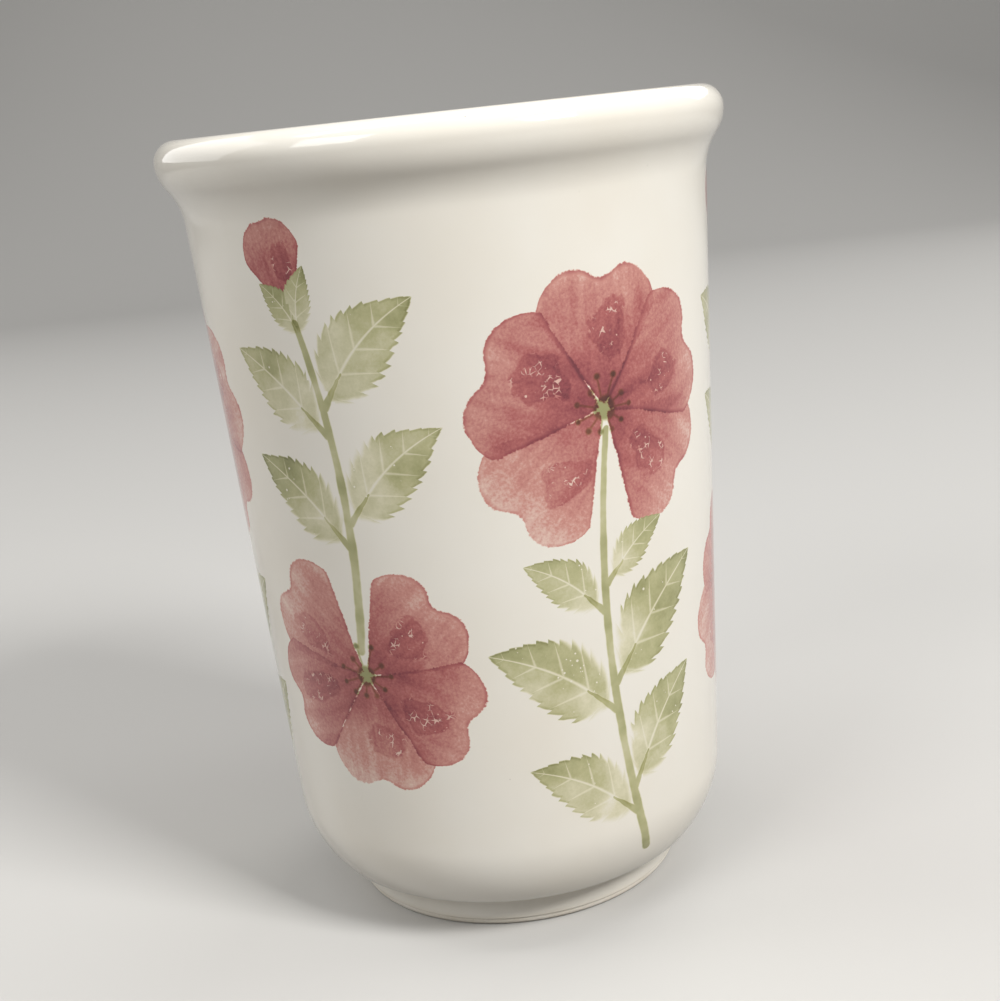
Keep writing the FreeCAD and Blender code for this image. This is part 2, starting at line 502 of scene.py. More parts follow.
class Unrolled:
    """A turned mesh unrolled: each corner's angle and station, and the face that it is in.

    Angles are from the camera's side and grow to its right. In a face, both run on without a break.
    """

    hidden_weight: float = 0.08
    map_margin: float = 0.005

    def __init__(self, mesh: bpy.types.Mesh, outline: Outline) -> None:
        """Reads a turned mesh.

        Args:
            mesh: The mesh, with its station attribute.
            outline: The outline that it was turned from.
        """
        self.mesh = mesh
        self.outline = outline
        vertex = np.array([corner.vertex_index for corner in mesh.loops])
        self.corners = np.array([face.loop_total for face in mesh.polygons])
        self.face = np.repeat(np.arange(len(self.corners)), self.corners)
        x, y, _ = np.array([point.co for point in mesh.vertices])[vertex].T
        middle = np.arctan2(self.means(x), -self.means(y))[self.face]
        turn = (np.arctan2(x, -y) - middle + HALF_TURN) % FULL_TURN - HALF_TURN
        on_axis = np.hypot(x, y) < TINY * MM
        self.angles = np.where(on_axis, middle, middle + turn)
        along = np.array([held.value for held in mesh.attributes["station"].data])[vertex]
        starts = np.cumsum(self.corners) - self.corners
        furthest = np.maximum.reduceat(along, starts)[self.face]
        behind = furthest - along > outline.whole / 2
        self.stations = np.where(behind, along + outline.whole, along)

    def means(self, values: np.ndarray) -> np.ndarray:
        """The mean over each face of a value at its corners."""
        return np.bincount(self.face, values) / self.corners

    def add_map(self) -> None:
        """Adds a map for the finish: round the crock, and along the section.

        The clay side gets only a small share of it.
        """
        whole = self.outline.whole
        begins, ends = self.outline.stations[[self.outline.first, self.outline.last]]
        hidden = self.hidden_weight
        weights = np.array([begins * hidden, ends - begins, (whole - ends) * hidden])
        shares = np.concatenate([[0.0], np.cumsum(weights) / weights.sum()])
        lengthways = np.interp(self.stations, [0.0, begins, ends, whole], shares)
        places = np.empty((len(self.angles), 2), np.float32)
        places[:, 0] = (self.angles + HALF_TURN) / FULL_TURN
        places[:, 1] = self.map_margin + lengthways * (1 - 2 * self.map_margin)
        self.mesh.uv_layers.new(name="OFBake").data.foreach_set("uv", places.ravel())


class Layer(Enum):
    """The layers of paint, by the mesh attribute that holds each layer's marks."""

    PETAL_UNDER = "petal_under_mark"
    PETAL_OVER = "petal_over_mark"
    HEART = "heart_mark"
    LEAF = "leaf_mark"
    STEM = "stem_mark"
    STALK = "stalk_mark"

    @property
    def is_stroke(self) -> bool:
        """Whether the layer's marks are thin strokes, drawn along a line."""
        return self in (Layer.STEM, Layer.STALK)

    @property
    def reach(self) -> float:
        """How far a mark's own coordinates go on past the paint before bare glaze begins."""
        return {Layer.HEART: 11.0, Layer.STEM: 3.5, Layer.STALK: 3.5}.get(self, 1.4)


class Side(Enum):
    """The side of a stem that a leaf grows on, seen along the stem."""

    LEFT = 1
    RIGHT = -1


@dataclass(frozen=True)
class Mark:
    """One brush mark on the unrolled wall.

    Its own coordinates run over it from -1 to 1: x across its half width, and y from its base to its
    tip. A stroke's y is the way to its nearer end instead, in half widths, and its width tapers.
    """

    layer: Layer
    base: complex
    tip: complex
    half_width: float
    seed: float
    bow: float = 0.0
    taper: float = 0.0

    @property
    def along(self) -> complex:
        """The way from the mark's base to its tip."""
        return self.tip - self.base

    @property
    def arch(self) -> complex:
        """Four times the way that the middle line bows out to the right."""
        return -4j * self.bow * self.along / abs(self.along)

    def at(self, share: float) -> complex:
        """The point at a share of the mark's bowed middle line."""
        return self.base + self.along * share + self.arch * share * (1 - share)

    def heading(self, share: float) -> float:
        """The direction of the middle line at a share of it, in radians."""
        return cmath.phase(self.along + self.arch * (1 - 2 * share))

    def own(self, places: np.ndarray, girth: float) -> tuple[np.ndarray, np.ndarray]:
        """Turns places on the wall into the mark's own coordinates.

        Args:
            places: The places.
            girth: The way once round the wall, after which the places begin again.

        Returns:
            x and y for each place.
        """
        length = abs(self.along)
        way = places - self.base
        way = ((way.real + girth / 2) % girth - girth / 2 + 1j * way.imag) / self.along
        share = way.real
        y = 2 * share - 1
        slope = 4 * self.bow * y / length
        aside = (-way.imag * length - self.bow * (1 - y ** 2)) / np.sqrt(1 + slope ** 2)
        width = self.half_width * (1 - self.taper * np.clip(share, 0.0, 1.0))
        if self.layer.is_stroke:
            y = np.minimum(share, 1 - share) * length / width
        return aside / width, y

    def holds(self, x: np.ndarray, y: np.ndarray) -> np.ndarray:
        """How far out in the mark's field each place is: below 1 it belongs to the mark."""
        lengthways = 1 - y if self.layer.is_stroke else np.abs(y)
        return np.maximum(np.abs(x), lengthways) / self.layer.reach


@dataclass(frozen=True)
class Spray:
    """The plan of a spray in a column of the wall: a blossom and a leafy stem.

    Heights go up the wall, which begins at the shoulder's height. A leaf's plan is its share of the way
    up the stem, its side and its scale.
    """

    blossom_rise: float
    blossom_scale: float
    stem_heading: float
    stem_base: complex
    stem_tip: complex
    stem_bow: float
    leaves: tuple[tuple[float, Side, float], ...]
    ends_in_bud: bool


HIGH_SPRAY = Spray(
    blossom_rise=118.0, blossom_scale=1.0, stem_heading=-QUARTER_TURN, stem_base=6.0 + 16.0j,
    stem_tip=0.3 + 114.6j, stem_bow=-5.0, ends_in_bud=False,
    leaves=((0.11, Side.LEFT, 0.88), (0.17, Side.RIGHT, 0.88), (0.37, Side.LEFT, 0.94),
            (0.43, Side.RIGHT, 0.94), (0.6, Side.LEFT, 0.62), (0.66, Side.RIGHT, 0.52)))
LOW_SPRAY = Spray(
    blossom_rise=66.0, blossom_scale=0.93, stem_heading=QUARTER_TURN, stem_base=-0.4 + 70.4j,
    stem_tip=-3.0 + 142.0j, stem_bow=3.5, ends_in_bud=True,
    leaves=((0.33, Side.LEFT, 0.8), (0.4, Side.RIGHT, 0.86), (0.66, Side.LEFT, 0.8),
            (0.74, Side.RIGHT, 0.86)))


@dataclass
class SprayDesign:
    """Painted sprays round the wall: blossoms set high and low by turns, on leafy stems."""

    girth: float
    pairs: int = 3
    front_shift: float = 27.0
    column_stray: Span = (-1.5, 1.5)
    petal_count: int = 5
    petal_spread: float = math.radians(66.5)
    petal_start: float = 3.8
    petal_length: float = 25.0
    petal_half_width: float = 14.0
    petal_turns: Span = (-0.05, 0.05)
    petal_lengths: Span = (0.94, 1.06)
    petal_widths: Span = (0.95, 1.04)
    bud_seed: float = 2.0
    bud_length: float = 17.5
    bud_half_width: float = 7.0
    bud_start: float = 2.0
    sepal_scale: float = 0.4
    sepal_spread: float = math.radians(23.0)
    sepal_share: float = 0.96
    leaf_length: float = 33.0
    leaf_half_width: float = 8.6
    leaf_spread: float = math.radians(50.0)
    leaf_bow: float = 2.6
    leaf_turns: Span = (-0.09, 0.09)
    leaf_lengths: Span = (0.95, 1.05)
    leaf_widths: Span = (0.94, 1.06)
    stalk_length: float = 2.6
    stalk_share: float = 0.24
    stalk_half_width: float = 1.0
    stalk_taper: float = 0.8
    stem_half_width: float = 1.2
    stem_taper: float = 0.4
    chance: random.Random = field(default_factory=partial(random.Random, 11))

    def marks(self) -> list[Mark]:
        """Every mark of every spray."""
        plans = [HIGH_SPRAY, LOW_SPRAY] * self.pairs
        return [mark for column, plan in enumerate(plans) for mark in self.spray(column, plan)]

    def spray(self, column: int, plan: Spray) -> list[Mark]:
        """Lays out a blossom and its leafy stem, which may end in a bud between two sepals.

        Args:
            column: The spray's number, counted round the wall.
            plan: The spray's plan.

        Returns:
            The marks: the blossom, the stem, each leaf and its short stalk, and the bud.
        """
        across = self.front_shift + column * self.girth / (2 * self.pairs)
        across += self.chance.uniform(*self.column_stray)
        stem = Mark(Layer.STEM, across + plan.stem_base, across + plan.stem_tip, self.stem_half_width,
                    self.chance.random(), plan.stem_bow, self.stem_taper)
        marks = self.blossom(complex(across, plan.blossom_rise), plan.stem_heading, plan.blossom_scale)
        marks.append(stem)
        for share, side, scale in plan.leaves:
            root = stem.at(share)
            heading = stem.heading(share) + side.value * self.leaf_spread
            leaf = self.leaf(root + cmath.rect(self.stalk_length, heading), heading, side, scale)
            stalk = Mark(Layer.STALK, root, leaf.at(self.stalk_share), self.stalk_half_width, 0.0,
                         taper=self.stalk_taper)
            marks += [leaf, stalk]
        if plan.ends_in_bud:
            heading = stem.heading(1.0)
            base = stem.tip + cmath.rect(self.bud_start, heading)
            top = base + cmath.rect(self.bud_length, heading)
            seed = self.bud_seed + self.chance.random()
            marks.append(Mark(Layer.PETAL_OVER, base, top, self.bud_half_width, seed))
            root = stem.at(self.sepal_share)
            marks += [self.leaf(root, heading + side.value * self.sepal_spread, side, self.sepal_scale)
                      for side in Side]
        return marks

    def blossom(self, centre: complex, stem_heading: float, scale: float) -> list[Mark]:
        """Lays out an open blossom seen full face, with a gap between two petals for its stem.

        Args:
            centre: The blossom's middle on the wall.
            stem_heading: The direction of the gap, in radians.
            scale: The blossom's size beside the usual one.

        Returns:
            Its petals, which lie over each other by turns, and the stamens at its heart.
        """
        half_gap = HALF_TURN - self.petal_spread * (self.petal_count - 1) / 2
        marks = []
        for k in range(self.petal_count):
            heading = stem_heading + half_gap + self.petal_spread * k + self.chance.uniform(*self.petal_turns)
            base = centre + cmath.rect(self.petal_start * scale, heading)
            length = self.petal_length * scale * self.chance.uniform(*self.petal_lengths)
            width = self.petal_half_width * scale * self.chance.uniform(*self.petal_widths)
            layer = Layer.PETAL_OVER if k % 2 else Layer.PETAL_UNDER
            marks.append(Mark(layer, base, base + cmath.rect(length, heading), width, self.chance.random()))
        # A heart's own coordinates are millimetres
        marks.append(Mark(Layer.HEART, centre - 1j, centre + 1j, 1.0, self.chance.random()))
        return marks

    def leaf(self, base: complex, heading: float, side: Side, scale: float) -> Mark:
        """Lays out a leaf that arches over to its side.

        Args:
            base: Where the leaf starts.
            heading: The direction that it grows in, in radians.
            side: The side of the stem that it is on.
            scale: The leaf's size beside the usual one.

        Returns:
            The leaf.
        """
        heading += self.chance.uniform(*self.leaf_turns)
        length = self.leaf_length * scale * self.chance.uniform(*self.leaf_lengths)
        width = self.leaf_half_width * scale * self.chance.uniform(*self.leaf_widths)
        bow = self.leaf_bow * scale * side.value
        return Mark(Layer.LEAF, base, base + cmath.rect(length, heading), width, self.chance.random(), bow)


class Finish:
    """What every finish shares: a surface whose inputs come from the finish's own nodes."""

    name: str
    roughness: float
    ior: float

    def make(self) -> bpy.types.Material:
        """Builds the material.

        Returns:
            The material.
        """
        material = bpy.data.materials.new(self.name)
        material.use_nodes = True
        material.node_tree.nodes.clear()
        add = partial(add_node, material.node_tree)
        inputs = {"Roughness": self.roughness, "IOR": self.ior, **self.surface(add)}
        shader = add("ShaderNodeBsdfPrincipled", into=inputs)
        add("ShaderNodeOutputMaterial", shader)
        return material

    def surface(self, add: AddNode) -> dict[str, Socket]:
        """What the surface's inputs get by name, from nodes that are added to the material."""
        raise NotImplementedError

    def millimetres(self, add: AddNode) -> Socket:
        """The place on the piece in millimetres."""
        place = add("ShaderNodeTexCoord", out="Object")
        return add(VECTOR, place, into={"Scale": 1 / MM}, operation="SCALE")


@dataclass(frozen=True)
class WhiteGlaze(Finish):
    """Tin-white earthenware glaze, dipped and fired glossy.

    It gives the eye a creamy white under a glassy skin that mirrors lamps with slight ripples. It turns
    warmer where it runs thin at the bare edge, and a few iron specks show through it.
    """

    name: str = "dipped_white_glaze"
    body_hex: str = "#F3EEE3"
    cloud_hex: str = "#EFE8DA"
    thin_hex: str = "#E9DFCC"
    speck_hex: str = "#5A4636"
    roughness: float = 0.045
    roughness_spread: float = 0.03
    ior: float = 1.52
    cloud_size: float = 34.0
    ripple_size: float = 13.0
    ripple_depth: float = 0.03
    peel_size: float = 1.8
    peel_depth: float = 0.0015
    speck_spacing: float = 5.0
    speck_radius: float = 0.26
    speck_share: float = 0.14
    speck_strength: float = 0.85
    thin_from: float = 3.2
    thin_to: float = 1.7
    break_up_size: float = 4.0

    def surface(self, add: AddNode) -> dict[str, Socket]:
        """Lays clouds, a thin edge at the foot, iron specks and any paint under a rippled gloss.

        Args:
            add: Adds a node to the material.

        Returns:
            What the surface's inputs get, by name.
        """
        mm = self.millimetres(add)
        cloud = add(NOISE, mm, None, 1 / self.cloud_size, 3.0)
        colour = add(RAMP, cloud, stops=((0.35, self.body_hex), (0.75, self.cloud_hex)))
        height = add(SPLIT, mm, out="Z")
        break_up = add(NOISE, mm, None, 1 / self.break_up_size, 3.0)
        thin = add(RANGE, height, self.thin_from, self.thin_to, **SMOOTH)
        thin = add("MULTIPLY", thin, break_up)
        cells = add(CELLS, mm, None, 1 / self.speck_spacing).node.outputs
        chance = add("ShaderNodeSeparateColor", cells["Color"])
        radius = add(RANGE, chance, 1 - self.speck_share, 1.0, 0.0, self.speck_radius / self.speck_spacing)
        speck = add(RANGE, cells["Distance"], radius, 0.0, 0.0, self.speck_strength)
        for share, hex_colour in ((thin, self.thin_hex), (speck, self.speck_hex)):
            colour = add(MIX, into={0: share, 6: colour, 7: linear(hex_colour)}, **TINT)
        ripple = add(NOISE, mm, None, 1 / self.ripple_size, 1.0)
        peel = add(NOISE, mm, None, 1 / self.peel_size, 1.0)
        normal = None
        for bump, depth in ((ripple, self.ripple_depth), (peel, self.peel_depth)):
            normal = add(BUMP, 1.0, depth * MM, into={"Height": bump, "Normal": normal})
        rough = add(RANGE, ripple, 0.3, 0.7, self.roughness, self.roughness + self.roughness_spread)
        return {"Base Color": self.painted(add, mm, colour), "Roughness": rough, "Normal": normal}

    def painted(self, add: AddNode, mm: Socket, colour: Socket) -> Socket:
        """The colour with any paint on it: plain white glaze has none."""
        return colour


class Paint:
    """Brushed and sponged underglaze colours, which lie flat under the gloss.

    Mulberry is grainy, with a dark line where a wet mark dried at its edge, and a second dab in it. Sage
    is a watery wash, with pale veins and strings of bubbles. A density is how strong a colour lies, from
    0 to 1.
    """

    mulberry: Stops = ((0.0, "#FFFFFF"), (0.15, "#F6DDD8"), (0.4, "#DA9D98"), (0.65, "#BA686B"),
                       (0.85, "#994651"), (1.0, "#782F3E"))
    sage: Stops = ((0.0, "#FFFFFF"), (0.2, "#EEEDD7"), (0.5, "#C8C9A0"), (0.75, "#A4A777"), (1.0, "#757A4F"))
    grain_size: float = 0.6
    wash_size: float = 7.0
    drift_size: float = 16.0
    flaw_size: float = 2.3
    crack_spacing: float = 1.15
    bubble_spacing: float = 1.3
    stamens: int = 11

    def __init__(self, add: AddNode, mm: Socket) -> None:
        """Adds what the layers share, with the flaws where thick paint drew apart as it dried.

        Args:
            add: Adds a node to the material.
            mm: The place on the piece in millimetres.
        """
        self.add = add
        self.grain = add(NOISE, mm, None, 1 / self.grain_size, 3.0, 0.65)
        self.wash = add(NOISE, mm, None, 1 / self.wash_size, 3.0)
        self.drift = add(NOISE, mm, None, 1 / self.drift_size, 1.0)
        self.bubbles = add(CELLS, mm, None, 1 / self.bubble_spacing)
        patch = add(NOISE, mm, None, 1 / self.flaw_size, 1.0)
        crack = add(CELLS, mm, None, 1 / self.crack_spacing, feature="DISTANCE_TO_EDGE")
        crack = add("LESS_THAN", crack, add(RANGE, patch, 0.56, 0.72, 0.0, 0.11))
        pinhole = add("LESS_THAN", self.bubbles, add(RANGE, patch, 0.42, 0.3, 0.0, 0.22))
        self.flaws = add("MAXIMUM", crack, pinhole)

    def own(self, layer: Layer) -> tuple[Socket, ...]:
        """A layer's marks: their own coordinates as a vector, then x, y and the mark's seed."""
        mark = self.add("ShaderNodeAttribute", out="Vector", attribute_name=layer.value)
        return mark, *self.add(SPLIT, mark).node.outputs

    def reach(self, x: Socket, y: Socket) -> Socket:
        """How far out x and y lie together."""
        flat = self.add("ShaderNodeCombineXYZ", x, y)
        return self.add(VECTOR, flat, out="Value", operation="LENGTH")

    def summed(self, total: Socket, *swings: tuple[Socket, float]) -> Socket:
        """The total with each amount added to it, so many times."""
        return reduce(lambda held, swing: self.add("MULTIPLY_ADD", *swing, held), swings, total)

    def over(self, colour: Socket) -> Socket:
        """Lays the layers of paint over the white, each as a tint that multiplies it.

        Petals cover each other by turns, a little deeper where they do, and leaves cover petals.

        Args:
            colour: The bare glaze's colour.

        Returns:
            The painted colour.
        """
        add = self.add
        stems = add("MAXIMUM", self.strokes(Layer.STEM, 0.12), self.strokes(Layer.STALK, 0.0))
        leaves, leaf_fill = self.leaves()
        under, under_fill = self.petals(Layer.PETAL_UNDER)
        over, over_fill = self.petals(Layer.PETAL_OVER)
        petals = add("MULTIPLY_ADD", under, add("SUBTRACT", 1.0, over_fill), over)
        both = add("MULTIPLY", under_fill, over_fill)
        petals = add("MULTIPLY_ADD", both, 0.07, petals, use_clamp=True)
        petals = add("MULTIPLY", petals, add("SUBTRACT", 1.0, leaf_fill))
        layers = (stems, self.sage), (leaves, self.sage), (petals, self.mulberry), (self.hearts(), self.sage)
        for density, tints in layers:
            tint = add(RAMP, density, stops=tints)
            colour = add(MIX, into={0: 1.0, 6: colour, 7: tint}, blend_type="MULTIPLY", **TINT)
        return colour

    def petals(self, layer: Layer) -> tuple[Socket, Socket]:
        """Lays one layer of petals, notched at the tip and narrow at the base.

        Args:
            layer: The layer that holds the petals' marks. A bud's seed is 2 or more.

        Returns:
            The mulberry's density, and how fully a petal covers the place.
        """
        add = self.add
        mark, x, y, seed = self.own(layer)
        aside = add("SMOOTH_MAX", x, add("MULTIPLY", x, -1.0), 0.3)
        half_width = add(RANGE, y, -1.0, 0.25, 0.2, 1.02, clamp=False)
        from_side = add("SUBTRACT", half_width, aside)
        crest = add(CURVE, 1.0, aside,
                    line=((0.0, 0.82), (0.12, 0.88), (0.35, 1.0), (0.6, 0.98), (0.85, 0.78), (1.0, 0.5)))
        bud = add("GREATER_THAN", seed, 1.5)
        closed = add(RANGE, aside, 0.0, 0.5, 0.22, 0.0)
        from_crest = add("SUBTRACT", add("MULTIPLY_ADD", closed, bud, crest), y)
        depth = add("SMOOTH_MIN", from_side, from_crest, 0.35)
        depth = self.summed(depth, (self.wash, 0.12), (self.grain, 0.1))
        fill = add(RANGE, depth, 0.11, 0.14, **SMOOTH)
        broken = add(RANGE, self.drift, 0.38, 0.58, 0.15, 1.0)
        dried = add("MULTIPLY", add(RANGE, depth, 0.13, 0.2, 0.24, 0.0), broken)

        # Streaks run along the petal, and the last number sets one petal's apart from another's
        stroke = add(VECTOR, mark, (6.0, 0.8, 37.0), operation="MULTIPLY")
        streak = add(NOISE, stroke, None, 1.0, 2.0)
        inward = add(RANGE, y, -0.95, 0.15, 0.24, 0.0, **SMOOTH)
        outward = add(RANGE, y, 0.1, 1.0, 0.06, -0.1)
        dab_x = add("SUBTRACT", x, add(RANGE, seed, 0.0, 1.0, -0.25, 0.25))
        dab_reach = self.reach(add("MULTIPLY", dab_x, 2.4), add("MULTIPLY", y, 1.7))
        dab_reach = self.summed(dab_reach, (self.wash, 1.8))
        dab = add(RANGE, dab_reach, 1.75, 1.5, 0.0, 0.17)
        dab_edge = add("COMPARE", dab_reach, 1.6, 0.06)
        bare = add("MULTIPLY", self.flaws, dab)
        kept = add("MULTIPLY_ADD", bare, -4.0, 1.0)

        density = add(RANGE, seed, 0.0, 1.0, -0.24, -0.06)
        density = self.summed(density, (self.wash, 0.36), (self.grain, 0.48), (streak, 0.34), (inward, 1.0),
                              (outward, 1.0), (dab, 1.0), (dab_edge, 0.06), (dried, 1.0))
        density = add("MULTIPLY", density, kept)
        return add("MULTIPLY", density, fill, use_clamp=True), fill

    def leaves(self) -> tuple[Socket, Socket]:
        """Lays the leaves, toothed, pale and blurred at the base, and crisp at the tip.

        Returns:
            The sage's density, and how fully a leaf covers the place, veins and all.
        """
        add = self.add
        _, x, y, seed = self.own(Layer.LEAF)
        aside = add("ABSOLUTE", x)
        share = add(RANGE, y, -1.0, 1.0, clamp=False)
        half_width = add(CURVE, 1.0, share, line=((0.0, 0.0), (0.05, 0.34), (0.22, 0.86), (0.4, 1.0),
                                                  (0.66, 0.76), (0.86, 0.36), (1.0, 0.0)))
        tooth = self.summed(share, (aside, -0.12))
        tooth = add("FRACT", add("MULTIPLY_ADD", tooth, 11.0, self.wash))
        tooth = add("MULTIPLY_ADD", tooth, 0.17, 0.9)
        depth = add("SUBTRACT", add("MULTIPLY", half_width, tooth), aside)
        depth = add("SUBTRACT", self.summed(depth, (self.wash, 0.2)), 0.1)
        blur = add(RANGE, self.summed(share, (self.drift, 1.5)), 0.8, 1.2, 0.36, 0.05)
        fill = add(RANGE, depth, 0.0, blur, **SMOOTH)
        crisp = add(RANGE, blur, 0.05, 0.25, 1.0, 0.0)
        dried = add("MULTIPLY", add(RANGE, depth, 0.02, 0.12, 0.22, 0.0), crisp)

        rib_width = add(RANGE, share, 0.0, 0.95, 0.1, 0.02)
        rib = add(RANGE, aside, rib_width, 0.0, 0.0, 0.85, **SMOOTH)
        vein_place = add("MULTIPLY", self.summed(share, (aside, -0.24)), 9.0)
        vein_place = add("PINGPONG", vein_place, 1.0)
        vein_width = add(RANGE, depth, 0.12, 0.7, 0.02, 0.2)
        vein = add(RANGE, vein_place, vein_width, 0.0, 0.0, 0.6, **SMOOTH)
        bubble = add("LESS_THAN", self.bubbles, add(RANGE, self.wash, 0.52, 0.68, 0.0, 0.24))
        bare = add("MAXIMUM", add("MAXIMUM", rib, vein), bubble)
        kept = add("MULTIPLY_ADD", bare, -0.85, 1.0)

        density = add(RANGE, seed, 0.0, 1.0, -0.3, -0.16)
        half = add(RANGE, x, -0.1, 0.1, -0.05, 0.05)
        ripe = add(RANGE, share, 0.25, 1.0, -0.06, 0.26)
        density = self.summed(density, (self.wash, 0.8), (self.drift, 0.3), (self.grain, 0.2), (half, 1.0),
                              (ripe, 1.0), (dried, 1.0))
        density = add("MULTIPLY", density, fill)
        return add("MULTIPLY", density, kept, use_clamp=True), fill

    def strokes(self, layer: Layer, stopped: float) -> Socket:
        """Lays soft strokes of the brush.

        Args:
            layer: The layer that holds the strokes.
            stopped: How much more colour lies where the brush stopped.

        Returns:
            The sage's density.
        """
        add = self.add
        _, x, y, _ = self.own(layer)
        past_end = add("MAXIMUM", add("SUBTRACT", 1.0, y), 0.0)
        reach = self.summed(self.reach(x, past_end), (self.wash, -0.8))
        fill = add(RANGE, reach, 0.75, 0.35, **SMOOTH)
        pooled = add(RANGE, y, 1.0, 5.0, 0.1 + stopped, 0.1)
        return add("MULTIPLY", self.summed(pooled, (self.wash, 0.9)), fill, use_clamp=True)

    def hearts(self) -> Socket:
        """Lays a blossom's heart: a dab, and a ring of dots on short threads.

        Returns:
            The sage's density.
        """
        add = self.add
        _, x, y, seed = self.own(Layer.HEART)
        out = self.reach(x, y)
        turn = self.summed(seed, (add("ARCTAN2", y, x), self.stamens / FULL_TURN))
        number = add("FLOOR", turn)
        chance, tints = add("ShaderNodeTexWhiteNoise", into={"W": number}, noise_dimensions="1D").node.outputs
        sway, size, strength = add("ShaderNodeSeparateColor", tints).node.outputs
        aside = add("SUBTRACT", add("FRACT", turn), add(RANGE, sway, 0.0, 1.0, 0.38, 0.62))
        aside = add("MULTIPLY", add("MULTIPLY", aside, FULL_TURN / self.stamens), out)
        beyond = add("SUBTRACT", out, add(RANGE, chance, 0.0, 1.0, 4.6, 7.4))
        radius = add(RANGE, size, 0.0, 1.0, 0.75, 1.2)
        depth = add(RANGE, strength, 0.0, 1.0, 0.55, 0.9)
        dot = add(RANGE, self.reach(aside, beyond), radius, 0.3, 0.0, depth, **SMOOTH)
        thread = add(RANGE, add("ABSOLUTE", aside), 0.38, 0.1, 0.0, 0.5)
        thread = add("MULTIPLY", thread, add("LESS_THAN", beyond, 0.0))
        dab = add(RANGE, self.summed(out, (self.wash, -2.4)), 1.8, 0.9, 0.0, 0.75, **SMOOTH)
        return add("MAXIMUM", add("MAXIMUM", dot, thread), dab)


@dataclass(frozen=True)
class PaintedGlaze(WhiteGlaze):
    """Tin-white glaze over brushed and sponged underglaze colours, dipped and fired glossy.

    It gives the eye flat, watery colours under the same creamy gloss.
    """

    name: str = "painted_white_glaze"

    def painted(self, add: AddNode, mm: Socket, colour: Socket) -> Socket:
        """The colour with the paint on it."""
        return Paint(add, mm).over(colour)


@dataclass(frozen=True)
class BiscuitClay(Finish):
    """Bare fired earthenware, wiped clean of glaze before firing.

    It gives the eye a dry, matt, off-white surface with fine grit, and grey scuffs where it has stood.
    """

    name: str = "bare_white_earthenware"
    body_hex: str = "#EFE9DD"
    dark_hex: str = "#E4DAC8"
    grit_hex: str = "#B4A58C"
    scuff_hex: str = "#ABA498"
    roughness: float = 0.82
    ior: float = 1.5
    cloud_size: float = 8.0
    # Real grit is finer, and this is as coarse as it needs to be to show
    grit_size: float = 0.5
    grit_depth: float = 0.05
    scuff_height: float = 0.5
    scuff_size: float = 2.2

    def surface(self, add: AddNode) -> dict[str, Socket]:
        """Lays clouds, grit, and scuffs low down.

        Args:
            add: Adds a node to the material.

        Returns:
            What the surface's inputs get, by name.
        """
        mm = self.millimetres(add)
        cloud = add(NOISE, mm, None, 1 / self.cloud_size, 4.0)
        colour = add(RAMP, cloud, stops=((0.3, self.body_hex), (0.75, self.dark_hex)))
        grit = add(NOISE, mm, None, 1 / self.grit_size, 3.0, 0.7)
        speck = add(RANGE, grit, 0.6, 0.72, 0.0, 0.55)
        low = add(RANGE, add(SPLIT, mm, out="Z"), self.scuff_height, 0.0)
        rubbed = add(NOISE, mm, None, 1 / self.scuff_size, 5.0, 0.7)
        scuff = add("MULTIPLY", low, add(RANGE, rubbed, 0.48, 0.8, 0.0, 0.6))
        for share, hex_colour in ((speck, self.grit_hex), (scuff, self.scuff_hex)):
            colour = add(MIX, into={0: share, 6: colour, 7: linear(hex_colour)}, **TINT)
        return {"Base Color": colour, "Normal": add(BUMP, 1.0, self.grit_depth * MM, into={"Height": grit})}


@dataclass(frozen=True)
class SweepPaper(Finish):
    """Matt backdrop paper in pale grey, rolled out under the crock and up behind it.

    The eye and the gloss of the glaze see it pale, and it throws only a little light back on the crock.
    """

    name: str = "matt_backdrop_paper"
    body_hex: str = "#C8C6C2"
    bounce_hex: str = "#807E7B"
    roughness: float = 0.9
    ior: float = 1.45

    def surface(self, add: AddNode) -> dict[str, Socket]:
        """Makes the paper pale to the eye and the gloss, and darker to the light that it throws back.

        Args:
            add: Adds a node to the material.

        Returns:
            What the surface's inputs get, by name.
        """
        ray = add("ShaderNodeLightPath").node.outputs
        seen = add("MAXIMUM", ray["Is Camera Ray"], ray["Is Glossy Ray"])
        seen = add("MAXIMUM", seen, ray["Is Transmission Ray"])
        bounce, body = linear(self.bounce_hex), linear(self.body_hex)
        return {"Base Color": add(MIX, into={0: seen, 6: bounce, 7: body}, **TINT)}


